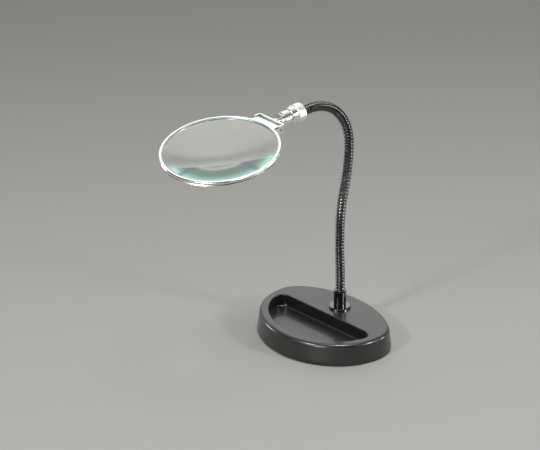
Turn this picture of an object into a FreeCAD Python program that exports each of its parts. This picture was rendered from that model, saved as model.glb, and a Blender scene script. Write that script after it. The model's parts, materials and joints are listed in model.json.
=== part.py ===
import FreeCAD, Part
import math
import os
import re
import Sketcher

V = FreeCAD.Vector
X_AXIS = V(1, 0, 0)

# Stand magnifier: a weighted oval base with a tray, a flexible ribbed neck, and a round lens that
# turns and tilts at the neck's end. Origin: centre of the base's underside. +X: along the oval,
# -Y: the front, where the tray lies and the lens hangs, +Z: up.

doc = FreeCAD.newDocument("StandMagnifier")
sheet = doc.addObject("Spreadsheet::Sheet", "Sizes")

SIZES = [
    # oval base shell, egg shaped: deeper in front than behind
    ("base_half_length", 61.2), ("base_front_depth", 54.2), ("base_rear_depth", 38.6),
    ("base_height", 18.7), ("base_wall", 3.0), ("deck_thickness", 3.0), ("deck_edge_round", 3.0),
    ("skirt_lean", 2.0), ("lean_foot", 3.7), ("skirt_chamfer", 0.8), ("skirt_lift", 0.6),
    # tray recess in the deck
    ("tray_wall_offset", 1.6), ("tray_margin", 9.2), ("tray_depth", 10.6), ("tray_floor", 2.4),
    ("tray_corner_round", 7.0), ("tray_floor_round", 1.4), ("tray_rim_round", 0.8),
    # underside: pad, cover plate, screws and their bosses
    ("pad_thickness", 1.0), ("pad_margin", 4.0), ("plate_thickness", 1.6), ("assembly_gap", 0.3),
    ("boss_margin", 6.1), ("boss_radius", 2.9), ("screw_radius", 1.25), ("screw_head_radius", 2.1),
    ("screw_head_height", 0.9), ("screw_recess", 1.0), ("screw_length", 9.0), ("screw_gap", 0.1),
    # ballast
    ("ballast_web", 4.1),
    # fittings at the neck's foot
    ("stem_setback", 14.3), ("flange_radius", 9.0), ("flange_height", 2.0), ("flange_chamfer", 0.6),
    ("sleeve_radius", 5.2), ("sleeve_height", 13.6), ("sleeve_chamfer", 0.5), ("sleeve_gap", 0.15),
    ("neck_entry", 0.3), ("stud_radius", 3.9), ("stud_foot_gap", 0.8), ("stud_top_gap", 0.5),
    ("thread_gap", 0.05), ("washer_radius", 8.0), ("washer_thickness", 1.0),
    ("nut_radius", 7.5), ("nut_height", 6.5), ("nut_room", 1.5),
    # flexible neck
    ("neck_crest_radius", 4.0), ("neck_root_radius", 3.4), ("neck_bore_radius", 2.6),
    ("neck_core_radius", 2.3), ("core_end_gap", 0.5),
    ("neck_lead", 6.0), ("low_bend_radius", 260.0), ("waist_run", 9.9), ("high_bend_radius", 150.0),
    ("arch_radius", 44.8), ("level_run", 11.2),
    # fittings at the neck's upper end, measured along the head's axis
    ("plug_flange", 2.0), ("plug_nose_radius", 3.0), ("plug_nose_length", 8.0),
    ("plug_tail_radius", 2.3), ("plug_tail_length", 3.5), ("plug_gap", 0.05),
    ("collar_radius", 7.7), ("collar_length", 8.9), ("collar_lap", 1.2), ("collar_chamfer", 0.7),
    ("collar_rear_round", 1.8), ("collar_throat", 3.0), ("running_gap", 0.1), ("spigot_radius", 5.4),
    ("spigot_setback", 0.3), ("barrel_shoulder_radius", 7.0), ("barrel_rear_radius", 6.3),
    ("barrel_rear_length", 5.4), ("barrel_front_radius", 5.65), ("barrel_front_length", 7.8),
    ("barrel_bore_radius", 4.4), ("barrel_bore_depth", 10.1),
    ("barrel_chamfer", 0.35), ("step_groove_width", 0.5), ("step_groove_depth", 0.35),
    ("bush_flange_radius", 4.9), ("bush_flange_height", 2.2), ("bush_chamfer", 0.4),
    ("friction_thickness", 0.6), ("friction_clear", 0.15),
    # swivel post and yoke
    ("post_radius", 2.25), ("post_head_radius", 3.6), ("post_head_length", 1.5), ("post_end_gap", 0.4),
    ("rivet_radius", 1.75), ("rivet_head_radius", 2.6), ("rivet_head_height", 0.4),
    ("yoke_length", 27.5), ("yoke_height", 7.0), ("yoke_sheet", 1.4), ("yoke_standoff", 8.8),
    ("yoke_setback", 3.3), ("yoke_ear_reach", 3.5), ("yoke_fold_round", 2.0), ("yoke_tip_round", 3.4),
    ("hinge_side_gap", 0.3), ("pin_radius", 1.5), ("pin_gap", 0.05), ("pin_recess", 0.5),
    # lens ring, its knuckle, and the lens; heights run down from the ring's upper face
    ("lens_radius", 44.9), ("lens_gap", 0.2), ("lens_lap", 0.9), ("seat_wall", 1.4),
    ("ring_height", 4.5), ("upper_bead_height", 2.5), ("bead_round", 0.9), ("seam_chamfer", 0.5),
    ("rim_chamfer", 0.3), ("ring_lip", 1.0), ("knuckle_standoff", 4.1), ("pin_drop", 4.2),
    ("knuckle_radius", 2.6), ("web_drop", 0.7), ("web_gap", 0.4), ("lens_edge", 1.8),
    ("lens_edge_drop", 0.3), ("lens_curve_radius", 260.0),
]
ANGLES = [("low_bend_angle", 4.2), ("high_bend_angle", 14.2), ("ring_droop_angle", 9.83),
          ("head_roll_angle", 2.7)]
SHARES = [
    # ribs: where the crest lies in one pitch, and how far a link stops short of its hinge
    ("rib_crest_share", 0.5), ("link_end_share", 0.16),
    # the oval's end arcs, against an ellipse's radius there
    ("base_front_end_share", 1.034), ("base_rear_end_share", 1.157),
    # bosses: place along and across an end arc's radius
    ("boss_place_share", 0.707),
]
LONG_LINKS, LONG_TURNS = 5, 9
SHORT_LINKS, SHORT_TURNS = 6, 5
BORE_RUNS = 3

for row, (name, number) in enumerate(SIZES + ANGLES + SHARES, 1):
    sheet.set("A%d" % row, name)
    sheet.set("B%d" % row, str(number))
    sheet.setAlias("B%d" % row, name)
doc.recompute()


def bound(text):
    """An expression over the sheet, from words that name its cells."""
    return re.sub(r"[a-z]\w+", lambda word: "Sizes." + word.group(), text)


def value(text):
    return float(sheet.evalExpression(bound(text)))


def new_body(label):
    body = doc.addObject("PartDesign::Body", label)
    body.Label = label
    return body


def new_sketch(body, name, role="XY_Plane", height=None):
    sketch = body.newObject("Sketcher::SketchObject", body.Label + "_" + name)
    flat = next(o for o in body.Origin.OriginFeatures if o.Role == role)
    sketch.AttachmentSupport = (flat, "")
    sketch.MapMode = "FlatFace"
    if height:
        sketch.setExpression("AttachmentOffset.Base.z", bound(height))
    return sketch


def fix_point(sketch, item, end, across, along):
    """Holds one point of the sketch at a place given in named sizes."""
    for kind, axis, text in (("DistanceX", -2, across), ("DistanceY", -1, along)):
        if text == "0":
            sketch.addConstraint(Sketcher.Constraint("PointOnObject", item, end, axis))
            continue
        number = value(text)
        if number < 0:
            rule = Sketcher.Constraint(kind, item, end, -1, 1, -number)
            text = "-(%s)" % text
        else:
            rule = Sketcher.Constraint(kind, -1, 1, item, end, number)
        spot = sketch.addConstraint(rule)
        sketch.setExpression("Constraints[%d]" % spot, bound(text))


def fix_size(sketch, kind, item, text):
    spot = sketch.addConstraint(Sketcher.Constraint(kind, item, value(text)))
    sketch.setExpression("Constraints[%d]" % spot, bound(text))


def outline(sketch, corners):
    """Closed straight-sided profile through corners given in named sizes."""
    spots = [V(value(u), value(v), 0) for u, v in corners]
    lines = [sketch.addGeometry(Part.LineSegment(a, b), False)
             for a, b in zip(spots, spots[1:] + spots[:1])]
    for line, after in zip(lines, lines[1:] + lines[:1]):
        sketch.addConstraint(Sketcher.Constraint("Coincident", line, 2, after, 1))
    for line, (u, v) in zip(lines, corners):
        fix_point(sketch, line, 1, u, v)


def circle(sketch, radius, across="0", along="0"):
    centre = V(value(across), value(along), 0)
    item = sketch.addGeometry(Part.Circle(centre, V(0, 0, 1), value(radius)), False)
    fix_size(sketch, "Radius", item, radius)
    fix_point(sketch, item, 3, across, along)


def end_arc(half):
    """Radius of the arcs at the oval's two ends, on its front or rear half."""
    return "(base_{0}_end_share * base_{0}_depth ^ 2 / base_half_length)".format(half)


def half_oval(sketch, half, inset, chord="0"):
    """Three tangent arcs of the base's outline, drawn in by an inset and ended at a chord."""
    end_radius, depth = end_arc(half), "base_%s_depth" % half
    side_place = "base_half_length - " + end_radius
    wide = ("(base_half_length ^ 2 + {0} ^ 2 - 2 * base_half_length * {1}) / (2 * ({0} - {1}))"
            .format(depth, end_radius))
    small, reach, centre = value("%s - (%s)" % (end_radius, inset)), value(wide), value(side_place)
    join = math.atan2(abs(reach - value(depth)), abs(centre))
    stop = math.asin(abs(value(chord)) / small)
    if half == "rear":
        turns = [(centre, 0, small, stop, join),
                 (0, value(depth) - reach, reach - value(inset), join, math.pi - join),
                 (-centre, 0, small, math.pi - join, math.pi - stop)]
    else:
        turns = [(-centre, 0, small, math.pi + stop, math.pi + join),
                 (0, reach - value(depth), reach - value(inset), math.pi + join, 2 * math.pi - join),
                 (centre, 0, small, 2 * math.pi - join, 2 * math.pi - stop)]
    first, middle, last = [
        sketch.addGeometry(Part.ArcOfCircle(Part.Circle(V(x, y, 0), V(0, 0, 1), radius), begin, end), False)
        for x, y, radius, begin, end in turns]
    fix_point(sketch, first, 3, side_place if half == "rear" else "-(%s)" % side_place, "0")
    fix_point(sketch, last, 3, "-(%s)" % side_place if half == "rear" else side_place, "0")
    fix_size(sketch, "Radius", first, "%s - (%s)" % (end_radius, inset))
    fix_size(sketch, "Radius", last, "%s - (%s)" % (end_radius, inset))
    fix_size(sketch, "Radius", middle, "%s - (%s)" % (wide, inset))
    sketch.addConstraint(Sketcher.Constraint("Tangent", first, 2, middle, 1))
    sketch.addConstraint(Sketcher.Constraint("Tangent", middle, 2, last, 1))
    for item, end in ((first, 1), (last, 2)):
        level = value(chord)
        if chord == "0":
            sketch.addConstraint(Sketcher.Constraint("PointOnObject", item, end, -1))
            continue
        rule = (item, end, -1, 1) if level < 0 else (-1, 1, item, end)
        spot = sketch.addConstraint(Sketcher.Constraint("DistanceY", *rule, abs(level)))
        sketch.setExpression("Constraints[%d]" % spot, bound("-(%s)" % chord if level < 0 else chord))
    return first, last


def oval(sketch, inset):
    """The whole egg-shaped outline: a shallow half behind and a deep half in front."""
    half_oval(sketch, "rear", inset)
    half_oval(sketch, "front", inset)


def oval_piece(sketch, half, inset, chord):
    """The part of one half of the outline beyond a straight chord."""
    first, last = half_oval(sketch, half, inset, chord)
    begin, end = sketch.getPoint(first, 1), sketch.getPoint(last, 2)
    line = sketch.addGeometry(Part.LineSegment(end, begin), False)
    sketch.addConstraint(Sketcher.Constraint("Coincident", last, 2, line, 1))
    sketch.addConstraint(Sketcher.Constraint("Coincident", line, 2, first, 1))


def feature(body, kind, name, sketch):
    item = body.newObject("PartDesign::" + kind, body.Label + "_" + name)
    item.Profile = sketch
    sketch.Visibility = False
    return item


def pad(body, name, sketch, length, centred=False):
    item = feature(body, "Pad", name, sketch)
    item.Midplane = centred
    item.setExpression("Length", bound(length))
    doc.recompute()
    return item


def cut_in(body, name, sketch, length=None, upward=False, centred=False):
    """A pocket, checked to have taken something away."""
    before = body.Shape.Volume
    item = feature(body, "Pocket", name, sketch)
    item.Reversed = upward
    item.Midplane = centred
    if length:
        item.setExpression("Length", bound(length))
    else:
        item.Type = "ThroughAll"
    doc.recompute()
    if not item.Shape.Volume < before:
        raise RuntimeError(item.Label + " removes nothing")
    return item


def turn(body, name, sketch, groove=False):
    item = feature(body, "Groove" if groove else "Revolution", name, sketch)
    item.ReferenceAxis = (sketch, ["V_Axis"])
    item.Angle = 360
    doc.recompute()
    return item


def dress(body, kind, name, size, wanted, second=None):
    """A fillet or chamfer on the edges of the body's tip that a test picks out.

    A second size makes the chamfer steep: the first is its height, the second its breadth."""
    tip = body.Tip
    names = ["Edge%d" % i for i, edge in enumerate(tip.Shape.Edges, 1) if wanted(edge)]
    if not names:
        raise RuntimeError(body.Label + "_" + name + " finds no edge")
    item = body.newObject("PartDesign::" + kind, body.Label + "_" + name)
    item.Base = (tip, names)
    item.setExpression("Radius" if kind == "Fillet" else "Size", bound(size))
    if second:
        item.ChamferType = "Two distances"
        item.setExpression("Size2", bound(second))
    doc.recompute()
    return item


def level_at(height):
    """Picks edges that lie flat at a height, given in named sizes."""
    level = value(height)
    return lambda edge: edge.BoundBox.ZLength < 1e-5 and abs(edge.BoundBox.ZMin - level) < 1e-4


def round_at(radius, height):
    """Picks circular edges about the local axis, by radius and height."""
    reach, flat = value(radius), level_at(height)
    return lambda edge: flat(edge) and abs(edge.BoundBox.XMax - reach) < 1e-4


def turned(label, corners, place):
    """A lathe-turned piece from its half profile, as (radius, height) corners."""
    body = new_body(label)
    sketch = new_sketch(body, "profile", "XZ_Plane")
    outline(sketch, corners)
    turn(body, "turning", sketch)
    body.Placement = place
    return body


# Base

DECK_UNDER = "base_height - deck_thickness"
TRAY_FLOOR_TOP = "base_height - tray_depth"
TRAY_UNDER = "base_height - tray_depth - tray_floor"
PLATE_TOP = "pad_thickness + plate_thickness"
REAR_ROOM = "base_wall - tray_wall_offset"
BOSSES = []
for half, ahead in (("front", "-"), ("rear", "")):
    away = "(%s - boss_margin) * boss_place_share" % end_arc(half)
    for side in ("", "-"):
        BOSSES.append(("%s(base_half_length - %s + %s)" % (side, end_arc(half), away), ahead + away))


def four_circles(sketch, radius):
    for across, along in BOSSES:
        circle(sketch, radius, across, along)


base_shell = new_body("base_shell")
sk = new_sketch(base_shell, "footprint", height="skirt_lift")
oval(sk, "0")
pad(base_shell, "block", sk, "base_height - skirt_lift")
dress(base_shell, "Chamfer", "skirt_slope", "base_height - lean_foot", level_at("base_height"),
      "skirt_lean")
dress(base_shell, "Fillet", "deck_edge", "deck_edge_round", level_at("base_height"))
dress(base_shell, "Chamfer", "skirt_edge", "skirt_chamfer", level_at("skirt_lift"))
# tray: a straight rear wall, and sides that follow the oval
sk = new_sketch(base_shell, "tray", height="base_height")
oval_piece(sk, "front", "tray_margin", "-tray_wall_offset")
cut_in(base_shell, "tray_cut", sk, "tray_depth")
deep, back = value("tray_depth") / 2, -value("tray_wall_offset")
dress(base_shell, "Fillet", "tray_corners", "tray_corner_round",
      lambda edge: edge.BoundBox.ZLength > deep and edge.BoundBox.YLength < 1e-4
      and abs(edge.BoundBox.YMax - back) < 1e-4)
dress(base_shell, "Fillet", "tray_crease", "tray_floor_round", level_at(TRAY_FLOOR_TOP))
inner = value("base_half_length - tray_margin") + 1e-3
dress(base_shell, "Fillet", "tray_rim", "tray_rim_round",
      lambda edge: level_at("base_height")(edge) and edge.BoundBox.XMax < inner and edge.BoundBox.YMax < 0)
# hollow underside, shallow below the tray and deep behind it
sk = new_sketch(base_shell, "hollow", height="0 * skirt_lift")
oval(sk, "base_wall")
cut_in(base_shell, "hollow_cut", sk, TRAY_UNDER, upward=True)
sk = new_sketch(base_shell, "rear_hollow", height="0 * skirt_lift")
oval_piece(sk, "rear", "base_wall", REAR_ROOM)
cut_in(base_shell, "rear_cut", sk, DECK_UNDER, upward=True)
sk = new_sketch(base_shell, "bosses", height=PLATE_TOP)
four_circles(sk, "boss_radius")
pad(base_shell, "boss_pads", sk, "%s - (%s)" % (DECK_UNDER, PLATE_TOP))
sk = new_sketch(base_shell, "pilots", height=PLATE_TOP)
four_circles(sk, "screw_radius + screw_gap")
cut_in(base_shell, "pilot_cuts", sk, "screw_length + screw_recess", upward=True)
sk = new_sketch(base_shell, "stud_hole", height="base_height")
circle(sk, "stud_radius + assembly_gap", "0", "stem_setback")
cut_in(base_shell, "stud_cut", sk, "deck_thickness + assembly_gap")

# cast ballast: a deep block behind the tray wall and a thin tongue below the tray
ballast_block = new_body("ballast_block")
FIT = "base_wall + assembly_gap"
sk = new_sketch(ballast_block, "tongue", height=PLATE_TOP)
oval(sk, FIT)
pad(ballast_block, "tongue_pad", sk, "%s - assembly_gap - (%s)" % (TRAY_UNDER, PLATE_TOP))
sk = new_sketch(ballast_block, "block", height=PLATE_TOP)
oval_piece(sk, "rear", FIT, REAR_ROOM + " + assembly_gap")
pad(ballast_block, "block_pad", sk, "%s - assembly_gap - (%s)" % (DECK_UNDER, PLATE_TOP))
sk = new_sketch(ballast_block, "notches", height=PLATE_TOP)
four_circles(sk, "boss_radius + assembly_gap")
cut_in(ballast_block, "notch_cuts", sk, "base_height", upward=True)
sk = new_sketch(ballast_block, "nut_room", height=PLATE_TOP)
circle(sk, "nut_radius + nut_room", "0", "stem_setback")
cut_in(ballast_block, "nut_cut", sk, "%s - assembly_gap - ballast_web - (%s)" % (DECK_UNDER, PLATE_TOP),
       upward=True)
sk = new_sketch(ballast_block, "stud_hole", height=PLATE_TOP)
circle(sk, "stud_radius + assembly_gap", "0", "stem_setback")
cut_in(ballast_block, "stud_cut", sk, "base_height", upward=True)

base_plate = new_body("base_plate")
sk = new_sketch(base_plate, "footprint", height="pad_thickness")
oval(sk, FIT)
pad(base_plate, "sheet", sk, "plate_thickness")
sk = new_sketch(base_plate, "holes", height="pad_thickness")
four_circles(sk, "screw_radius + screw_gap")
cut_in(base_plate, "hole_cuts", sk, "plate_thickness", upward=True)
sk = new_sketch(base_plate, "recesses", height="pad_thickness")
four_circles(sk, "screw_head_radius + assembly_gap")
cut_in(base_plate, "recess_cuts", sk, "screw_recess", upward=True)

base_pad = new_body("base_pad")
sk = new_sketch(base_pad, "footprint", height="0 * pad_thickness")
oval(sk, "pad_margin")
pad(base_pad, "sheet", sk, "pad_thickness")

base_screws = new_body("base_screws")
base_screws.AllowCompound = True
sk = new_sketch(base_screws, "heads", height="pad_thickness + screw_recess - screw_head_height")
four_circles(sk, "screw_head_radius")
pad(base_screws, "head_pads", sk, "screw_head_height")
sk = new_sketch(base_screws, "shanks", height="pad_thickness + screw_recess")
four_circles(sk, "screw_radius")
pad(base_screws, "shank_pads", sk, "screw_length")

# Foot of the neck

stem = FreeCAD.Placement(V(0, value("stem_setback"), 0), FreeCAD.Rotation())
FLANGE_TOP = "base_height + flange_height"
SLEEVE_TOP = FLANGE_TOP + " + sleeve_height"
HINGE = SLEEVE_TOP + " + neck_entry"
WEB_UNDER = DECK_UNDER + " - assembly_gap - ballast_web"
STUD_TOP = HINGE + " - stud_top_gap"

foot_flange = turned("foot_flange", [
    ("stud_radius + assembly_gap", "base_height"), ("flange_radius", "base_height"),
    ("flange_radius", FLANGE_TOP), ("stud_radius + assembly_gap", FLANGE_TOP)], stem)
dress(foot_flange, "Chamfer", "edge", "flange_chamfer", round_at("flange_radius", FLANGE_TOP))

stem_sleeve = turned("stem_sleeve", [
    ("neck_crest_radius + sleeve_gap", FLANGE_TOP), ("sleeve_radius", FLANGE_TOP),
    ("sleeve_radius", SLEEVE_TOP), ("neck_crest_radius + sleeve_gap", SLEEVE_TOP)], stem)
dress(stem_sleeve, "Chamfer", "mouth", "sleeve_chamfer", round_at("sleeve_radius", SLEEVE_TOP))

stem_stud = turned("stem_stud", [
    ("0", PLATE_TOP + " + stud_foot_gap"), ("stud_radius", PLATE_TOP + " + stud_foot_gap"),
    ("stud_radius", FLANGE_TOP), ("neck_crest_radius", FLANGE_TOP), ("neck_crest_radius", STUD_TOP),
    ("0", STUD_TOP)], stem)

stem_washer = turned("stem_washer", [
    ("stud_radius + assembly_gap", WEB_UNDER + " - washer_thickness"),
    ("washer_radius", WEB_UNDER + " - washer_thickness"), ("washer_radius", WEB_UNDER),
    ("stud_radius + assembly_gap", WEB_UNDER)], stem)

stem_nut = new_body("stem_nut")
hexagon = stem_nut.newObject("PartDesign::AdditivePrism", "stem_nut_hexagon")
hexagon.Polygon = 6
hexagon.setExpression("Circumradius", bound("nut_radius"))
hexagon.setExpression("Height", bound("nut_height"))
doc.recompute()
sk = new_sketch(stem_nut, "bore")
circle(sk, "stud_radius + thread_gap")
cut_in(stem_nut, "bore_cut", sk, "nut_height", upward=True)
stem_nut.Placement = FreeCAD.Placement(
    V(0, value("stem_setback"), value(WEB_UNDER + " - washer_thickness - nut_height")), FreeCAD.Rotation())

# Flexible neck

low, high = math.radians(value("low_bend_angle")), math.radians(value("high_bend_angle"))
low_radius, high_radius = value("low_bend_radius"), value("high_bend_radius")
arch_radius = value("arch_radius")
# the route at rest, as (length, curvature): straight up, a slight lean forward and back again,
# a longer lean to the rear and back, the quarter arch to the front and a level run
ROUTE = [
    (value("neck_lead"), 0), (low_radius * low, 1 / low_radius), (low_radius * low, -1 / low_radius),
    (value("waist_run"), 0), (high_radius * high, -1 / high_radius),
    (high_radius * high, 1 / high_radius), (arch_radius * math.pi / 2, 1 / arch_radius),
    (value("level_run"), 0)]
TURNS = LONG_LINKS * [LONG_TURNS] + SHORT_LINKS * [SHORT_TURNS]
neck_length = sum(length for length, _ in ROUTE)
pitch = neck_length / sum(TURNS)


def station(distance):
    """Place on the neck's centreline; its local Z runs along the neck, its X stays level."""
    y, z, lean = value("stem_setback"), value(HINGE), 0.0
    for length, curve in ROUTE:
        step = min(length, distance)
        after = lean + curve * step
        if curve:
            y -= (math.cos(lean) - math.cos(after)) / curve
            z += (math.sin(after) - math.sin(lean)) / curve
        else:
            y -= math.sin(lean) * step
            z += math.cos(lean) * step
        lean = after
        distance -= step
        if distance <= 0:
            break
    return FreeCAD.Placement(V(0, y, z), FreeCAD.Rotation(X_AXIS, math.degrees(lean)))


def ruled(rings):
    """Solid through circles, each given as (distance along the neck, radius)."""
    wires = []
    for distance, radius in rings:
        edge = Part.makeCircle(radius)
        edge.Placement = station(distance)
        wires.append(Part.Wire([edge]))
    return Part.makeLoft(wires, True, True)


def add_shape(label, shape):
    item = doc.addObject("Part::Feature", label)
    item.Label = label
    item.Shape = shape
    return item


crest, root, bore = value("neck_crest_radius"), value("neck_root_radius"), value("neck_bore_radius")
core, core_gap = value("neck_core_radius"), value("core_end_gap")
rib_crest, link_end = value("rib_crest_share"), value("link_end_share")
neck_windings, neck_cores, hinge_places = [], [], []
done = 0
for number, turns in enumerate(TURNS, 1):
    begin, end = done * pitch, (done + turns) * pitch
    rings = [(begin + link_end * pitch, root)]
    for i in range(turns):
        rings += [(begin + (i + rib_crest) * pitch, crest), (begin + (i + 1) * pitch, root)]
    rings[-1] = (end - link_end * pitch, root)
    ribs = ruled(rings)
    hollow = ruled([(begin + (end - begin) * i / BORE_RUNS, bore) for i in range(BORE_RUNS + 1)])
    neck_windings.append(add_shape("neck_winding_%02d" % number, ribs.cut(hollow)))
    start, stop = begin + core_gap, end - core_gap
    if number == len(TURNS):
        stop -= value("plug_tail_length")
    rod = ruled([(start + (stop - start) * i / BORE_RUNS, core) for i in range(BORE_RUNS + 1)])
    neck_cores.append(add_shape("neck_core_%02d" % number, rod))
    hinge_places.append(station(begin))
    done += turns

# Head, along its level axis

neck_end = station(neck_length)
head = FreeCAD.Placement(neck_end.Base, FreeCAD.Rotation(X_AXIS, 90))
# the post, yoke and lens stand a little turned about the head's axis
roll = FreeCAD.Rotation(V(0, 1, 0), value("head_roll_angle"))
COLLAR_END = "collar_length - collar_lap"
SPIGOT_REAR = "plug_flange + spigot_setback"
SHOULDER = COLLAR_END + " + running_gap"
STEP = SHOULDER + " + barrel_rear_length"
BARREL_END = STEP + " + barrel_front_length"
BORE_FLOOR = BARREL_END + " - barrel_bore_depth"
POST_REAR = BORE_FLOOR + " + post_end_gap"
POST_SHOULDER = POST_REAR + " + post_head_length"
FRICTION_REAR = POST_SHOULDER + " + running_gap"
BUSH_REAR = FRICTION_REAR + " + friction_thickness + running_gap"
BUSH_FRONT = BARREL_END + " + bush_flange_height"
BAR_REAR = BARREL_END + " + yoke_standoff"
BAR_FRONT = BAR_REAR + " + yoke_sheet"
PIN_AHEAD = BAR_FRONT + " + yoke_setback"

neck_end_plug = turned("neck_end_plug", [
    ("0", "-plug_tail_length"), ("plug_tail_radius", "-plug_tail_length"), ("plug_tail_radius", "0"),
    ("neck_crest_radius", "0"), ("neck_crest_radius", "plug_flange"),
    ("plug_nose_radius", "plug_flange"), ("plug_nose_radius", "plug_flange + plug_nose_length"),
    ("0", "plug_flange + plug_nose_length")], head)

clamp_collar = turned("clamp_collar", [
    ("neck_crest_radius + assembly_gap", "-collar_lap"), ("collar_radius", "-collar_lap"),
    ("collar_radius", COLLAR_END), ("spigot_radius + running_gap", COLLAR_END),
    ("spigot_radius + running_gap", "collar_throat - collar_lap"),
    ("neck_crest_radius + assembly_gap", "collar_throat - collar_lap")], head)
dress(clamp_collar, "Fillet", "rear_edge", "collar_rear_round", round_at("collar_radius", "-collar_lap"))
dress(clamp_collar, "Chamfer", "front_edge", "collar_chamfer", round_at("collar_radius", COLLAR_END))

head_barrel = turned("head_barrel", [
    ("plug_nose_radius + plug_gap", SPIGOT_REAR), ("spigot_radius", SPIGOT_REAR),
    ("spigot_radius", SHOULDER), ("barrel_shoulder_radius", SHOULDER), ("barrel_rear_radius", STEP),
    ("barrel_front_radius - step_groove_depth", STEP),
    ("barrel_front_radius - step_groove_depth", STEP + " + step_groove_width"),
    ("barrel_front_radius", STEP + " + step_groove_width"), ("barrel_front_radius", BARREL_END),
    ("barrel_bore_radius", BARREL_END), ("barrel_bore_radius", BORE_FLOOR),
    ("plug_nose_radius + plug_gap", BORE_FLOOR)], head)
dress(head_barrel, "Chamfer", "lip", "barrel_chamfer", round_at("barrel_front_radius", BARREL_END))
dress(head_barrel, "Chamfer", "step_edge", "barrel_chamfer", round_at("barrel_rear_radius", STEP))

barrel_bush = turned("barrel_bush", [
    ("post_radius + running_gap", BUSH_REAR), ("barrel_bore_radius - plug_gap", BUSH_REAR),
    ("barrel_bore_radius - plug_gap", BARREL_END), ("bush_flange_radius", BARREL_END),
    ("bush_flange_radius", BUSH_FRONT), ("post_radius + running_gap", BUSH_FRONT)], head)
dress(barrel_bush, "Chamfer", "rim", "bush_chamfer", round_at("bush_flange_radius", BUSH_FRONT))

friction_washer = turned("friction_washer", [
    ("post_radius + friction_clear", FRICTION_REAR), ("barrel_bore_radius - friction_clear", FRICTION_REAR),
    ("barrel_bore_radius - friction_clear", FRICTION_REAR + " + friction_thickness"),
    ("post_radius + friction_clear", FRICTION_REAR + " + friction_thickness")], head)

swivel_post = turned("swivel_post", [
    ("0", POST_REAR), ("post_head_radius", POST_REAR), ("post_head_radius", POST_SHOULDER),
    ("post_radius", POST_SHOULDER), ("post_radius", BAR_REAR), ("rivet_radius", BAR_REAR),
    ("rivet_radius", BAR_FRONT), ("rivet_head_radius", BAR_FRONT),
    ("rivet_head_radius", BAR_FRONT + " + rivet_head_height"),
    ("0", BAR_FRONT + " + rivet_head_height")],
    FreeCAD.Placement(neck_end.Base, roll.multiply(head.Rotation)))

# folded sheet yoke, from above; its origin is the hinge pin's centre
pin_place = FreeCAD.Placement(neck_end.Base + V(0, -value(PIN_AHEAD), 0), roll.multiply(head.Rotation))
yoke_bracket = new_body("yoke_bracket")
sk = new_sketch(yoke_bracket, "plan", "XZ_Plane")
HALF, EAR = "yoke_length / 2", "yoke_length / 2 - yoke_sheet"
outline(sk, [("-" + HALF, "-(yoke_setback + yoke_sheet)"), (HALF, "-(yoke_setback + yoke_sheet)"),
             (HALF, "yoke_ear_reach"), (EAR, "yoke_ear_reach"), (EAR, "-yoke_setback"),
             ("-(%s)" % EAR, "-yoke_setback"), ("-(%s)" % EAR, "yoke_ear_reach"),
             ("-" + HALF, "yoke_ear_reach")])
pad(yoke_bracket, "channel", sk, "yoke_height", centred=True)
rear = -value("yoke_setback + yoke_sheet")
dress(yoke_bracket, "Fillet", "folds", "yoke_fold_round",
      lambda edge: edge.BoundBox.YLength > 1e-3 and abs(edge.BoundBox.ZMin - rear) < 1e-4
      and edge.BoundBox.DiagonalLength - edge.BoundBox.YLength < 1e-4)
tip = value("yoke_ear_reach")
dress(yoke_bracket, "Fillet", "tips", "yoke_tip_round",
      lambda edge: edge.BoundBox.XLength > 1e-3 and abs(edge.BoundBox.ZMin - tip) < 1e-4
      and edge.BoundBox.DiagonalLength - edge.BoundBox.XLength < 1e-4)
sk = new_sketch(yoke_bracket, "pin_hole", "YZ_Plane")
circle(sk, "pin_radius + pin_gap")
cut_in(yoke_bracket, "pin_cut", sk, "yoke_length * 2", centred=True)
sk = new_sketch(yoke_bracket, "post_hole", height="-(yoke_setback + yoke_sheet)")
circle(sk, "rivet_radius + pin_gap")
cut_in(yoke_bracket, "post_cut", sk, "yoke_sheet", upward=True)
yoke_bracket.Placement = pin_place

hinge_pin = new_body("hinge_pin")
sk = new_sketch(hinge_pin, "section", "YZ_Plane")
circle(sk, "pin_radius")
pad(hinge_pin, "rod", sk, "yoke_length - 2 * pin_recess", centred=True)
hinge_pin.Placement = pin_place

# Lens ring and lens

SEAT = "lens_radius + lens_gap"
RING_OUTER = SEAT + " + seat_wall"
RING_CLEAR = "lens_radius - lens_lap"
PIN_REACH = RING_OUTER + " + knuckle_standoff"
droop = roll.multiply(FreeCAD.Rotation(X_AXIS, value("ring_droop_angle")))
ring_centre = pin_place.Base + droop.multVec(V(0, -value(PIN_REACH), value("pin_drop")))
ring_place = FreeCAD.Placement(ring_centre, droop)
LENS_TOP = "-(ring_lip + lens_edge_drop)"
LENS_UNDER = "-(ring_lip + lens_edge_drop + lens_edge)"
LIP_TWO = "-(ring_lip + 2 * lens_edge_drop + lens_edge)"

ring_frame = new_body("ring_frame")
sk = new_sketch(ring_frame, "band", "XZ_Plane")
outline(sk, [(RING_CLEAR, "0"), (RING_OUTER, "0"),
             (RING_OUTER, "-upper_bead_height"), (RING_CLEAR, "-upper_bead_height")])
turn(ring_frame, "band_turning", sk)
dress(ring_frame, "Fillet", "bead_top", "bead_round", round_at(RING_OUTER, "0 * ring_lip"))
dress(ring_frame, "Chamfer", "bead_bottom", "seam_chamfer", round_at(RING_OUTER, "-upper_bead_height"))
dress(ring_frame, "Chamfer", "inner_rim", "rim_chamfer", round_at(RING_CLEAR, "0 * ring_lip"))
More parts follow.
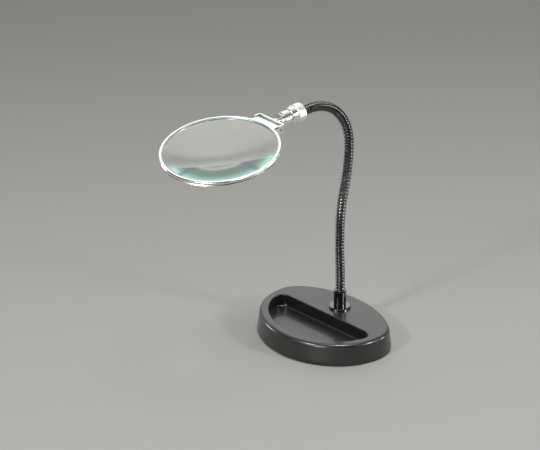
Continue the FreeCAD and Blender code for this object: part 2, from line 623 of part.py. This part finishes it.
# web and knuckle of the tilt hinge, reaching back from the band
KNUCKLE = "yoke_length - 2 * yoke_sheet - 2 * hinge_side_gap"
sk = new_sketch(ring_frame, "web", "YZ_Plane")
outline(sk, [("lens_radius", "-web_drop"), (PIN_REACH, "-(pin_drop - knuckle_radius)"),
             (PIN_REACH, "-pin_drop"), (PIN_REACH + " - knuckle_radius", "-pin_drop"),
             (RING_OUTER + " + web_gap", "-upper_bead_height"), ("lens_radius", "-upper_bead_height")])
pad(ring_frame, "web_pad", sk, KNUCKLE, centred=True)
sk = new_sketch(ring_frame, "knuckle", "YZ_Plane")
circle(sk, "knuckle_radius", PIN_REACH, "-pin_drop")
pad(ring_frame, "knuckle_pad", sk, KNUCKLE, centred=True)
sk = new_sketch(ring_frame, "pin_hole", "YZ_Plane")
circle(sk, "pin_radius + pin_gap", PIN_REACH, "-pin_drop")
cut_in(ring_frame, "pin_cut", sk, "yoke_length", centred=True)
sk = new_sketch(ring_frame, "seat", "XZ_Plane")
outline(sk, [("0", "-ring_lip"), (SEAT, "-ring_lip"), (SEAT, "-ring_height"), ("0", "-ring_height")])
turn(ring_frame, "seat_turning", sk, groove=True)

retaining_ring = new_body("retaining_ring")
sk = new_sketch(retaining_ring, "band", "XZ_Plane")
outline(sk, [(SEAT, "-upper_bead_height"), (RING_OUTER, "-upper_bead_height"),
             (RING_OUTER, "-ring_height"), (RING_CLEAR, "-ring_height"),
             (RING_CLEAR, LIP_TWO), (SEAT, LIP_TWO)])
turn(retaining_ring, "band_turning", sk)
dress(retaining_ring, "Chamfer", "bead_top", "seam_chamfer", round_at(RING_OUTER, "-upper_bead_height"))
dress(retaining_ring, "Fillet", "bead_bottom", "bead_round", round_at(RING_OUTER, "-ring_height"))
dress(retaining_ring, "Chamfer", "inner_rim", "rim_chamfer", round_at(RING_CLEAR, "-ring_height"))

# biconvex lens: two equal spherical faces and a plain edge
lens = new_body("lens")
sk = new_sketch(lens, "section", "XZ_Plane")
edge_r, upper, lower = value("lens_radius"), value(LENS_TOP), value(LENS_UNDER)
curve = value("lens_curve_radius")
swing = math.asin(edge_r / curve)
depth = curve * math.cos(swing)
top = sk.addGeometry(Part.ArcOfCircle(Part.Circle(V(0, upper - depth, 0), V(0, 0, 1), curve),
                                      math.pi / 2 - swing, math.pi / 2), False)
side = sk.addGeometry(Part.LineSegment(V(edge_r, lower, 0), V(edge_r, upper, 0)), False)
under = sk.addGeometry(Part.ArcOfCircle(Part.Circle(V(0, lower + depth, 0), V(0, 0, 1), curve),
                                        -math.pi / 2, swing - math.pi / 2), False)
axis = sk.addGeometry(Part.LineSegment(V(0, upper + curve - depth, 0), V(0, lower - curve + depth, 0)), False)
for first, a, second, b in ((top, 1, side, 2), (side, 1, under, 2), (under, 1, axis, 2), (axis, 1, top, 2)):
    sk.addConstraint(Sketcher.Constraint("Coincident", first, a, second, b))
for arc in (top, under):
    sk.addConstraint(Sketcher.Constraint("PointOnObject", arc, 3, -2))
    fix_size(sk, "Radius", arc, "lens_curve_radius")
fix_point(sk, side, 1, "lens_radius", LENS_UNDER)
fix_point(sk, side, 2, "lens_radius", LENS_TOP)
sk.addConstraint(Sketcher.Constraint("PointOnObject", axis, 1, -2))
turn(lens, "turning", sk)

for piece in (ring_frame, retaining_ring, lens):
    piece.Placement = ring_place

# Check and write

doc.recompute()
PIECES = [base_shell, ballast_block, base_plate, base_pad, base_screws, foot_flange, stem_sleeve,
          stem_stud, stem_washer, stem_nut] + neck_windings + neck_cores + [
          neck_end_plug, clamp_collar, head_barrel, barrel_bush, friction_washer, swivel_post,
          yoke_bracket, hinge_pin, ring_frame, retaining_ring, lens]
for item in doc.Objects:
    if "Invalid" in item.State or "Error" in item.State:
        raise RuntimeError(item.Label + " failed: " + str(item.State))
for piece in PIECES:
    if piece.Shape.isNull() or not piece.Shape.isValid():
        raise RuntimeError(piece.Label + " has no valid shape")
os.makedirs("parts", exist_ok=True)
for piece in PIECES:
    piece.Shape.exportStep("parts/%s.step" % piece.Label)

print("pitch %.4f, neck length %.3f, turns %d" % (pitch, neck_length, sum(TURNS)))
print("neck end", neck_end.Base, "pin", pin_place.Base, "ring centre", ring_centre)
for number, spot in enumerate(hinge_places, 1):
    print("hinge %d at (%.3f, %.3f) lean %.2f" % (number, spot.Base.y, spot.Base.z,
                                                 math.degrees(spot.Rotation.Angle)))
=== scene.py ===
import json
import math

import bpy
from mathutils import Matrix, Vector


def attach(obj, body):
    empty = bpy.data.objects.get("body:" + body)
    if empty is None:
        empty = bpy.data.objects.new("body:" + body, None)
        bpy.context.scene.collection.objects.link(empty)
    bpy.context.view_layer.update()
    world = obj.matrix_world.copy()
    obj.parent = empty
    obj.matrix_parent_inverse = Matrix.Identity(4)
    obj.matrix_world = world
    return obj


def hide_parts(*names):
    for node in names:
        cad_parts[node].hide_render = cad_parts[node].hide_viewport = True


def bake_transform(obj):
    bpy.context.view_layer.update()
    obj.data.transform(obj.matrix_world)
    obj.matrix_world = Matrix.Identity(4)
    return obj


# Frame

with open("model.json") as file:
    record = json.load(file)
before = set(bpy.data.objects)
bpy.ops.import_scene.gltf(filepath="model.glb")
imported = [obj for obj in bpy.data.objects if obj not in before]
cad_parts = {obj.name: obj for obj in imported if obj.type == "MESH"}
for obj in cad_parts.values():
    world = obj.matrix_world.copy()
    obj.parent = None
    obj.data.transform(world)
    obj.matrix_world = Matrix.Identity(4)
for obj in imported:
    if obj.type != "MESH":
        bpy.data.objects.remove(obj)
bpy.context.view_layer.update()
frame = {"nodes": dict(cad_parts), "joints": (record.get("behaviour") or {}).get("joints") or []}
NODES = frame["nodes"]
MM = 0.001

# Camera

ELEVATION, TURN = math.radians(25.75), math.radians(45.52)
TARGET_ACROSS, TARGET_UP, DISTANCE = -47.34 * MM, 88.69 * MM, 1813.6 * MM
SENSOR_MM = 36
FOCAL_PIXELS, PICTURE_PIXELS = 2200, 540

right = Vector((math.cos(TURN), math.sin(TURN), 0))
back = Vector((math.sin(TURN) * math.cos(ELEVATION), -math.cos(TURN) * math.cos(ELEVATION),
               math.sin(ELEVATION)))
up = back.cross(right)
camera_data = bpy.data.cameras.new("view")
camera_data.lens = SENSOR_MM * FOCAL_PIXELS / PICTURE_PIXELS
camera_data.sensor_width = SENSOR_MM
camera_data.clip_start = 0.05
camera_data.clip_end = 20
camera = bpy.data.objects.new("view", camera_data)
bpy.context.scene.collection.objects.link(camera)
axes = Matrix((right, up, back)).transposed().to_4x4()
place = right * TARGET_ACROSS + up * TARGET_UP + back * DISTANCE
camera.matrix_world = Matrix.Translation(place) @ axes
bpy.context.scene.camera = camera
bpy.context.scene.view_settings.view_transform = "Standard"


# Shader helpers

NOISE_LOW, NOISE_HIGH = 0.3, 0.7  # nearly all of a noise's greys lie between these


def new_material(name):
    material = bpy.data.materials.new(name)
    material.use_nodes = True
    tree = material.node_tree
    shader = next(node for node in tree.nodes if node.type == "BSDF_PRINCIPLED")
    return material, tree, shader


def add_node(tree, kind, **settings):
    node = tree.nodes.new(kind)
    for name, setting in settings.items():
        node.inputs[name].default_value = setting
    return node


def own_place(tree):
    """The place in the object's own metres."""
    return tree.nodes.new("ShaderNodeTexCoord").outputs["Object"]


def fill(tree, node, terms):
    """Gives each term, a socket or a fixed value, to the node's next input."""
    for entry, term in zip(node.inputs, terms):
        if isinstance(term, bpy.types.NodeSocket):
            tree.links.new(term, entry)
        else:
            entry.default_value = term


def maths(tree, kind, *terms):
    node = tree.nodes.new("ShaderNodeMath")
    node.operation = kind
    fill(tree, node, terms)
    return node.outputs["Value"]


def vector_maths(tree, kind, *terms):
    node = tree.nodes.new("ShaderNodeVectorMath")
    node.operation = kind
    fill(tree, node, terms)
    return node.outputs["Value" if kind in ("DOT_PRODUCT", "LENGTH") else "Vector"]


def mix(tree, share, first, second):
    node = tree.nodes.new("ShaderNodeMix")
    node.data_type = "RGBA"
    tree.links.new(share, node.inputs["Factor"])
    tree.links.new(first, node.inputs["A"])
    tree.links.new(second, node.inputs["B"])
    return node.outputs["Result"]


def shades(tree, source, stops):
    """Maps a grey value to a run of colours or grey levels: (place, shade) in rising order."""
    node = tree.nodes.new("ShaderNodeValToRGB")
    elements = node.color_ramp.elements
    for place, _ in stops[1:-1]:
        elements.new(place)
    for element, (place, shade) in zip(elements, stops):
        colour = shade if isinstance(shade, tuple) else (shade, shade, shade)
        element.position = place
        element.color = (*colour, 1)
    tree.links.new(source, node.inputs["Fac"])
    return node.outputs["Color"]


def ramp(tree, source, low, high, low_at=0.0, high_at=1.0):
    """Maps a grey value to a run between two colours or grey levels."""
    return shades(tree, source, [(low_at, low), (high_at, high)])


def noise(tree, scale, detail=3.0, stretch=None):
    """Noise in the object's own metres; stretch scales it along X, Y and Z."""
    place = own_place(tree)
    if stretch:
        mapping = add_node(tree, "ShaderNodeMapping", Scale=stretch)
        tree.links.new(place, mapping.inputs["Vector"])
        place = mapping.outputs["Vector"]
    node = add_node(tree, "ShaderNodeTexNoise", Scale=scale, Detail=detail)
    tree.links.new(place, node.inputs["Vector"])
    return node.outputs["Fac"]


def vary(tree, shader, socket, grey, low, high):
    """Lets a noise move one of the shader's inputs between two colours or levels."""
    tree.links.new(ramp(tree, grey, low, high, NOISE_LOW, NOISE_HIGH), shader.inputs[socket])


def tones(colour, spread):
    """The colour a share darker and the same share lighter."""
    return (tuple(c * (1 - spread) for c in colour),
            tuple(min(1.0, c * (1 + spread)) for c in colour))


def bump(tree, shader, height, distance):
    node = add_node(tree, "ShaderNodeBump", Strength=1.0, Distance=distance)
    tree.links.new(height, node.inputs["Height"])
    tree.links.new(node.outputs["Normal"], shader.inputs["Normal"])


# Materials

def plastic(name, colour, spread, roughness, grain, grain_size, shine=0.0):
    """Moulded plastic: fine spark-eroded grain, faint colour drift and uneven gloss."""
    tone_scale, gloss_scale, smoother, rougher = 45.0, 160.0, 0.9, 1.1
    material, tree, shader = new_material(name)
    vary(tree, shader, "Base Color", noise(tree, tone_scale, detail=2.0), *tones(colour, spread))
    vary(tree, shader, "Roughness", noise(tree, gloss_scale), roughness * smoother, roughness * rougher)
    bump(tree, shader, noise(tree, 1 / grain_size, detail=2.0), grain)
    shader.inputs["Coat Weight"].default_value = shine
    shader.inputs["Coat Roughness"].default_value = 0.14
    return material


def metal(name, colour, roughness, grain=0.0, stretch=None):
    """Plated or turned metal: slight tone drift, fine turning or polishing marks."""
    tone_scale, mark_scale, grain_scale = 120.0, 900.0, 2600.0
    spread, smoother, rougher = 0.04, 0.8, 1.25
    material, tree, shader = new_material(name)
    shader.inputs["Metallic"].default_value = 1.0
    vary(tree, shader, "Base Color", noise(tree, tone_scale), *tones(colour, spread))
    marks = noise(tree, mark_scale, 4.0, stretch)
    vary(tree, shader, "Roughness", marks, roughness * smoother, roughness * rougher)
    if grain:
        bump(tree, shader, noise(tree, grain_scale, 2.0, stretch), grain)
    return material


def lacquer(name, colour, roughness):
    """Black lacquer over metal: a dark ground below a clear gloss coat."""
    tone_scale, mark_scale, grain_scale, grain = 300.0, 1200.0, 1500.0, 0.004 * MM
    darker, smoother, rougher = 0.7, 0.8, 1.3
    material, tree, shader = new_material(name)
    shader.inputs["Coat Weight"].default_value = 1.0
    shader.inputs["Coat Roughness"].default_value = 0.06
    shader.inputs["Coat IOR"].default_value = 1.72
    shader.inputs["Specular IOR Level"].default_value = 0.1
    vary(tree, shader, "Base Color", noise(tree, tone_scale), tuple(c * darker for c in colour), colour)
    vary(tree, shader, "Roughness", noise(tree, mark_scale), roughness * smoother, roughness * rougher)
    bump(tree, shader, noise(tree, grain_scale, detail=2.0), grain)
    return material


def ground_edge():
    """The lens's fine-ground rim, dark green where it meets the ring."""
    dark_green, light_green = (0.03, 0.06, 0.055), (0.08, 0.14, 0.13)
    cloud_scale, cloud_low, cloud_high = 26.0, 0.42, 0.58
    mark_scale, smoothest, roughest = 700.0, 0.55, 0.8
    material, tree, shader = new_material("ground_edge")
    clouds = noise(tree, cloud_scale, detail=1.0)
    tint = ramp(tree, clouds, dark_green, light_green, cloud_low, cloud_high)
    tree.links.new(tint, shader.inputs["Base Color"])
    marks = ramp(tree, noise(tree, mark_scale), smoothest, roughest)
    tree.links.new(marks, shader.inputs["Roughness"])
    return material


black_plastic = plastic("black_plastic", (0.013, 0.013, 0.012), spread=0.15, roughness=0.36,
                        grain=0.012 * MM, grain_size=1.5 * MM, shine=0.55)
cover_plastic = plastic("cover_plastic", (0.03, 0.03, 0.031), spread=0.1, roughness=0.55,
                        grain=0.03 * MM, grain_size=0.5 * MM)
pad_foam = plastic("pad_foam", (0.02, 0.02, 0.02), spread=0.25, roughness=0.9,
                   grain=0.1 * MM, grain_size=0.6 * MM)
cast_iron = metal("cast_iron", (0.12, 0.12, 0.12), roughness=0.6, grain=0.1 * MM)
zinc = metal("zinc", (0.55, 0.55, 0.54), roughness=0.3)
chrome = metal("chrome", (0.88, 0.88, 0.87), roughness=0.22, grain=0.002 * MM)
dark_chrome = metal("dark_chrome", (0.2, 0.2, 0.2), roughness=0.15, grain=0.002 * MM)
satin = metal("satin", (0.9, 0.9, 0.88), roughness=0.4, grain=0.01 * MM, stretch=(1, 6, 1))
spring_steel = metal("spring_steel", (0.3, 0.3, 0.31), roughness=0.4)
black_lacquer = lacquer("black_lacquer", (0.008, 0.008, 0.009), roughness=0.3)
edge_glass = ground_edge()

FINISH = {
    "base_shell": black_plastic, "base_plate": cover_plastic, "base_pad": pad_foam,
    "ballast_block": cast_iron, "base_screws": zinc, "foot_flange": dark_chrome,
    "stem_sleeve": black_lacquer, "stem_stud": zinc, "stem_washer": zinc, "stem_nut": zinc,
    "neck_end_plug": satin, "clamp_collar": satin, "head_barrel": chrome,
    "barrel_bush": chrome, "friction_washer": zinc, "swivel_post": chrome,
    "yoke_bracket": chrome, "hinge_pin": zinc, "ring_frame": chrome, "retaining_ring": chrome,
    "lens": edge_glass,
}


def paint(thing, material):
    thing.data.materials.clear()
    thing.data.materials.append(material)


for name, thing in NODES.items():
    if name.startswith("neck_winding"):
        paint(thing, black_lacquer)
    elif name.startswith("neck_core"):
        paint(thing, spring_steel)
    else:
        paint(thing, FINISH[name])


# Mesh and joint helpers

def add_piece(name, points, faces, material, smooth=True):
    mesh = bpy.data.meshes.new(name)
    mesh.from_pydata([tuple(p) for p in points], [], faces)
    mesh.validate()
    mesh.update()
    if smooth:
        mesh.shade_smooth()
    piece = bpy.data.objects.new(name, mesh)
    bpy.context.scene.collection.objects.link(piece)
    paint(piece, material)
    return piece


def joint_place(name):
    return Vector(next(joint["pos_m"] for joint in frame["joints"] if joint["name"] == name))


# Flexible neck

def bend(radius, swing):
    """Length and curvature of an arc; a negative swing leans it back."""
    return radius * abs(swing), math.copysign(1 / radius, swing)


TURN_COUNTS = [9] * 5 + [5] * 6
NECK_FOOT = joint_place("neck_bend_01")
FOOT_RUN, MIDDLE_RUN, HEAD_RUN = 6.0 * MM, 9.9 * MM, 11.2 * MM
LOW_RADIUS, LOW_SWAY = 260 * MM, math.radians(4.2)
HIGH_RADIUS, HIGH_SWAY = 150 * MM, math.radians(14.2)
ARCH_RADIUS, ARCH_SWING = 44.8 * MM, math.pi / 2
ROUTE = [
    (FOOT_RUN, 0), bend(LOW_RADIUS, LOW_SWAY), bend(LOW_RADIUS, -LOW_SWAY), (MIDDLE_RUN, 0),
    bend(HIGH_RADIUS, -HIGH_SWAY), bend(HIGH_RADIUS, HIGH_SWAY), bend(ARCH_RADIUS, ARCH_SWING),
    (HEAD_RUN, 0)]
NECK_LENGTH = sum(length for length, _ in ROUTE)
PITCH = NECK_LENGTH / sum(TURN_COUNTS)
CREST, ROOT = 4.0 * MM, 3.0 * MM
FLANK_FALL, FLANK_ROUNDING, GROOVE_DEPTH, GROOVE_SHARPNESS = 0.38, 0.32, 0.3, 12
SIDES, RINGS_PER_TURN = 40, 18
STUB = 2.5 * MM  # the wire begins this far below the first hinge
END_GAP = 0.2 * MM  # and stops this far before the route ends
BEND_RUN = 2.2 * MM  # the centreline is worked out this far on either side of each link's start, and not used


def station(distance):
    """(place, lean) on the neck's centreline, where lean turns from +Z towards -Y."""
    _, y, z = NECK_FOOT
    lean = 0.0
    if distance < 0:
        return Vector((0, y, z + distance)), lean
    for length, curve in ROUTE:
        step = min(length, distance)
        after = lean + curve * step
        if curve:
            y -= (math.cos(lean) - math.cos(after)) / curve
            z += (math.sin(after) - math.sin(lean)) / curve
        else:
            y -= math.sin(lean) * step
            z += math.cos(lean) * step
        lean = after
        distance -= step
        if distance <= 0:
            break
    return Vector((0, y, z)), lean


def wire_radius(turns):
    """Outer radius where the winding has made this many turns: a rounded crest, then a sharp groove."""
    off_crest = abs(2 * (turns % 1.0) - 1)
    swell = (1 - FLANK_FALL * off_crest - FLANK_ROUNDING * off_crest ** 2
             - GROOVE_DEPTH * off_crest ** GROOVE_SHARPNESS)
    return ROOT + (CREST - ROOT) * swell


def winding(name, begin, end):
    """A stretch of the neck's outer wire: one helical ridge, closed by a flat face at either end."""
    rings = max(2, round((end - begin) / PITCH * RINGS_PER_TURN))
    points, faces = [], []
    for i in range(rings + 1):
        distance = begin + (end - begin) * i / rings
        place, lean = station(distance)
        level, rise = Vector((1, 0, 0)), Vector((0, math.cos(lean), math.sin(lean)))
        for k in range(SIDES):
            angle = 2 * math.pi * k / SIDES
            radius = wire_radius(distance / PITCH - k / SIDES)
            points.append(place + (level * math.cos(angle) + rise * math.sin(angle)) * radius)
    for i in range(rings):
        for k in range(SIDES):
            a, b = i * SIDES + k, i * SIDES + (k + 1) % SIDES
            faces.append((a, b, b + SIDES, a + SIDES))
    for ring, distance in ((0, begin), (rings, end)):
        centre = len(points)
        points.append(station(distance)[0])
        for k in range(SIDES):
            a, b = ring * SIDES + k, ring * SIDES + (k + 1) % SIDES
            faces.append((a, b, centre) if ring else (b, a, centre))
    return add_piece(name, points, faces, black_lacquer)


links, turns_below = [], 0
for count in TURN_COUNTS:
    links.append((turns_below * PITCH, (turns_below + count) * PITCH))
    turns_below += count
previous, cut = "base", -STUB
for number, (begin, end) in enumerate(links, 1):
    body = "neck_%02d" % number
    middle = (begin + end) / 2 if number < len(links) else end - END_GAP
    piece = winding("neck_wire_%02d" % number, cut, middle)
    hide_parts("neck_winding_%02d" % number)
    station(begin - BEND_RUN)[0]
    station(begin + BEND_RUN)[0]
    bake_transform(piece)
    previous, cut = body, middle


# Lens

ROLL, DROOP = math.radians(2.7), math.radians(9.83)
RING_TURN = Matrix.Rotation(ROLL, 3, "Y") @ Matrix.Rotation(DROOP, 3, "X")
RING_REACH, RING_RISE = 50.6 * MM, 4.2 * MM  # from the hinge pin to the ring's centre
RING_CENTRE = joint_place("ring_tilt") + RING_TURN @ Vector((0, -RING_REACH, RING_RISE))
LENS_RADIUS, LENS_CURVE = 44.9 * MM, 260 * MM
LENS_TOP, LENS_UNDER = -1.3 * MM, -3.1 * MM
LENS_SIDES, LENS_RINGS = 144, 30
GLASS_IOR = 1.52
CLEAR_LOW, CLEAR_HIGH, CLEAR_SCALE = (0.97, 0.98, 0.95), (0.985, 0.995, 0.965), 12.0
# painted glow and painted reflection arcs, standing in for the light that the glass traps: its colour from
# the middle to the rim
PAINTED_GLOW_BANDS = [(0.0, (0.18, 0.21, 0.19)), (0.46, (0.15, 0.18, 0.16)), (0.54, (0.25, 0.3, 0.275)),
             (0.61, (0.02, 0.075, 0.065)), (0.74, (0.02, 0.1, 0.085)), (0.83, (0.11, 0.33, 0.29)),
             (0.9, (0.36, 0.7, 0.64)), (0.96, (0.15, 0.42, 0.37)), (1.0, (0.03, 0.1, 0.085))]
WAVER_SCALE, WAVER_SHARE = 22.0, 0.12
# painted shade lines across the painted glow
SHADE_LINE_WIDTH, SHADE_LINE_LEVEL = 4 * MM, 0.2
TRAP_START, TRAP_FULL = 0.12, 0.7  # Fresnel values at which the glass begins to show the painted glow, and shows it fully
PAINTED_GLOW_SHARE, PAINTED_GLOW_ROUGHNESS = 0.9, 0.5


def painted_glow_colour(tree):
    """Colour of the painted glow for the trapped light: rings of green with painted reflection arcs, crossed
    by painted shade lines on the lens's own X and Y.
    """
    offset = vector_maths(tree, "SUBTRACT", own_place(tree), RING_CENTRE)
    off_axis = vector_maths(tree, "CROSS_PRODUCT", offset, RING_TURN @ Vector((0, 0, 1)))
    share = maths(tree, "DIVIDE", vector_maths(tree, "LENGTH", off_axis), LENS_RADIUS)
    waver = maths(tree, "SUBTRACT", noise(tree, WAVER_SCALE, detail=1.0), 0.5)
    uneven_share = maths(tree, "ADD", share, maths(tree, "MULTIPLY", waver, WAVER_SHARE))
    bands = shades(tree, uneven_share, PAINTED_GLOW_BANDS)
    to_shade_lines = [maths(tree, "ABSOLUTE", vector_maths(tree, "DOT_PRODUCT", offset, RING_TURN @ axis))
                for axis in (Vector((1, 0, 0)), Vector((0, 1, 0)))]
    nearest = maths(tree, "DIVIDE", maths(tree, "MINIMUM", *to_shade_lines), SHADE_LINE_WIDTH)
    return vector_maths(tree, "MULTIPLY", bands, ramp(tree, nearest, SHADE_LINE_LEVEL, 1.0))


def lens_glass():
    """Clear glass. Where its underside reflects totally, it shows a painted green glow in place of the light
    that its rim leads in.
    """
    material, tree, shader = new_material("lens_glass")
    shader.inputs["IOR"].default_value = GLASS_IOR
    clear = ramp(tree, noise(tree, CLEAR_SCALE, detail=1.0), CLEAR_LOW, CLEAR_HIGH)
    fresnel = add_node(tree, "ShaderNodeFresnel", IOR=GLASS_IOR).outputs["Fac"]
    inside = tree.nodes.new("ShaderNodeNewGeometry").outputs["Backfacing"]
    trapped = maths(tree, "MULTIPLY", ramp(tree, fresnel, 0.0, 1.0, TRAP_START, TRAP_FULL), inside)
    # painted glow: where the underside reflects totally, the glass becomes a rough, painted green surface
    painted_glow = maths(tree, "MULTIPLY", trapped, PAINTED_GLOW_SHARE)
    tree.links.new(mix(tree, painted_glow, clear, painted_glow_colour(tree)), shader.inputs["Base Color"])
    tree.links.new(maths(tree, "SUBTRACT", 1.0, painted_glow), shader.inputs["Transmission Weight"])
    tree.links.new(maths(tree, "MULTIPLY", painted_glow, PAINTED_GLOW_ROUGHNESS), shader.inputs["Roughness"])
    return material


def cap(edge_height, sign):
    """Half profile of one lens face from its middle to its edge, as (radius, height)."""
    swing = math.asin(LENS_RADIUS / LENS_CURVE)
    hub = edge_height - sign * LENS_CURVE * math.cos(swing)
    profile = []
    for i in range(LENS_RINGS + 1):
        angle = swing * i / LENS_RINGS
        profile.append((LENS_CURVE * math.sin(angle), hub + sign * LENS_CURVE * math.cos(angle)))
    return profile


def revolve(points, faces, profile, flip):
    """Adds the surface of a profile turned about the ring's axis, with a single point at radius zero."""
    rows = []
    for radius, height in profile:
        first = len(points)
        if radius == 0:
            rows.append([first] * LENS_SIDES)
            points.append(RING_CENTRE + RING_TURN @ Vector((0, 0, height)))
            continue
        rows.append(list(range(first, first + LENS_SIDES)))
        for k in range(LENS_SIDES):
            angle = 2 * math.pi * k / LENS_SIDES
            spoke = Vector((radius * math.cos(angle), radius * math.sin(angle), height))
            points.append(RING_CENTRE + RING_TURN @ spoke)
    for inner, outer in zip(rows, rows[1:]):
        for k in range(LENS_SIDES):
            after = (k + 1) % LENS_SIDES
            corners = [inner[k], outer[k], outer[after], inner[after]]
            loop = tuple(dict.fromkeys(corners))
            faces.append(loop[::-1] if flip else loop)


lens_points, lens_faces = [], []
revolve(lens_points, lens_faces, cap(LENS_TOP, 1), False)
revolve(lens_points, lens_faces, cap(LENS_UNDER, -1), True)
revolve(lens_points, lens_faces, [(LENS_RADIUS, LENS_TOP), (LENS_RADIUS, LENS_UNDER)], False)
lens_piece = add_piece("lens_body", lens_points, lens_faces, lens_glass())
lens_piece.data.materials.append(edge_glass)
for face in lens_piece.data.polygons[-LENS_SIDES:]:
    face.material_index = 1
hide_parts("lens")
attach(lens_piece, "lens_head")
# clear glass lets the lamps through, and the floor takes that light once
lens_piece.visible_shadow = False
lens_piece.visible_diffuse = False


# Floor

FLOOR_HALF = 6.0
# how far from the origin, away from the camera, the floor's painted shade begins and ends
FLOOR_NEAR, FLOOR_FAR = -0.6, 0.7
# painted shade: grey levels along that run, darkest toward the camera
FLOOR_PAINTED_SHADE = [(0.0, 0.14), (0.27, 0.4), (0.5, 0.39), (1.0, 0.3)]
PAPER_BLUE = 0.965  # the paper's blue as a share of its red and green


def floor_material():
    """Pale paper sweep with painted shade: its grey deepens away from the object, behind it and in front."""
    material, tree, shader = new_material("floor")
    away = vector_maths(tree, "DOT_PRODUCT", own_place(tree), (-math.sin(TURN), math.cos(TURN), 0))
    reach = tree.nodes.new("ShaderNodeMapRange")
    reach.inputs["From Min"].default_value = FLOOR_NEAR
    reach.inputs["From Max"].default_value = FLOOR_FAR
    tree.links.new(away, reach.inputs["Value"])
    stops = [(share, (shade, shade, shade * PAPER_BLUE)) for share, shade in FLOOR_PAINTED_SHADE]
    tree.links.new(shades(tree, reach.outputs["Result"], stops), shader.inputs["Base Color"])
    shader.inputs["Roughness"].default_value = 1.0
    shader.inputs["Specular IOR Level"].default_value = 0.0
    return material


floor_corners = [Vector((x * FLOOR_HALF, y * FLOOR_HALF, 0)) for x, y in ((-1, -1), (1, -1), (1, 1), (-1, 1))]
floor = add_piece("floor", floor_corners, [(0, 1, 2, 3)], floor_material(), smooth=False)


# Lamps

AIM = Vector((0, -0.04, 0.1))
TOP_PLACE, FRONT_PLACE, SIDE_PLACE = (0.35, -0.15, 1.9), (0.0, -1.7, 1.2), (1.7, 0.6, 0.9)
GLINT_LAMPS = [("front_strip", FRONT_PLACE, 14), ("side_strip", SIDE_PLACE, 12)]
GLINT_SIZE = 0.3
PANEL_PLACES = [(-1.1, -0.52), (0.4, -1.15), (0.8, 0.9)]
PANEL_HEIGHT, PANEL_SIZE, PANEL_POWER = 0.16, 0.3, 4


def area_light(name, place, size, power):
    data = bpy.data.lights.new(name, "AREA")
    data.energy = power
    data.size = size
    lamp = bpy.data.objects.new(name, data)
    bpy.context.scene.collection.objects.link(lamp)
    lamp.location = place
    lamp.rotation_euler = (AIM - Vector(place)).to_track_quat("-Z", "Y").to_euler()
    return lamp


area_light("top", TOP_PLACE, size=0.5, power=19)
area_light("front", FRONT_PLACE, size=0.25, power=12)
area_light("side", SIDE_PLACE, size=0.25, power=12)
# at the same places, lamps that only gloss shows, for the glints on the neck's ribs
for name, place, power in GLINT_LAMPS:
    area_light(name, place, GLINT_SIZE, power).visible_diffuse = False
# near the floor, panels that only gloss shows, for the gleams on the base's skirt
for number, (x, y) in enumerate(PANEL_PLACES):
    panel = area_light("low_panel_%d" % number, (x, y, PANEL_HEIGHT), PANEL_SIZE, PANEL_POWER)
    panel.visible_diffuse = False
    panel.visible_camera = False


# Room

# the room is bright high up beyond the object and dark elsewhere
WALL_LEVEL, WALL_RISE = 0.8, 0.6
WALL_WAY = Vector((-WALL_LEVEL * math.sin(TURN), WALL_LEVEL * math.cos(TURN), WALL_RISE))
WALL_SHADES = [(0.0, 0.02), (0.5, 0.04), (0.9, 0.6), (1.0, 1.0)]
world = bpy.data.worlds.new("studio")
bpy.context.scene.world = world
world.use_nodes = True
tree = world.node_tree
sky = next(node for node in tree.nodes if node.type == "BACKGROUND")
way = tree.nodes.new("ShaderNodeTexCoord").outputs["Generated"]
facing = vector_maths(tree, "DOT_PRODUCT", way, WALL_WAY)
tree.links.new(shades(tree, facing, WALL_SHADES), sky.inputs["Color"])
sky.inputs["Strength"].default_value = 1.4
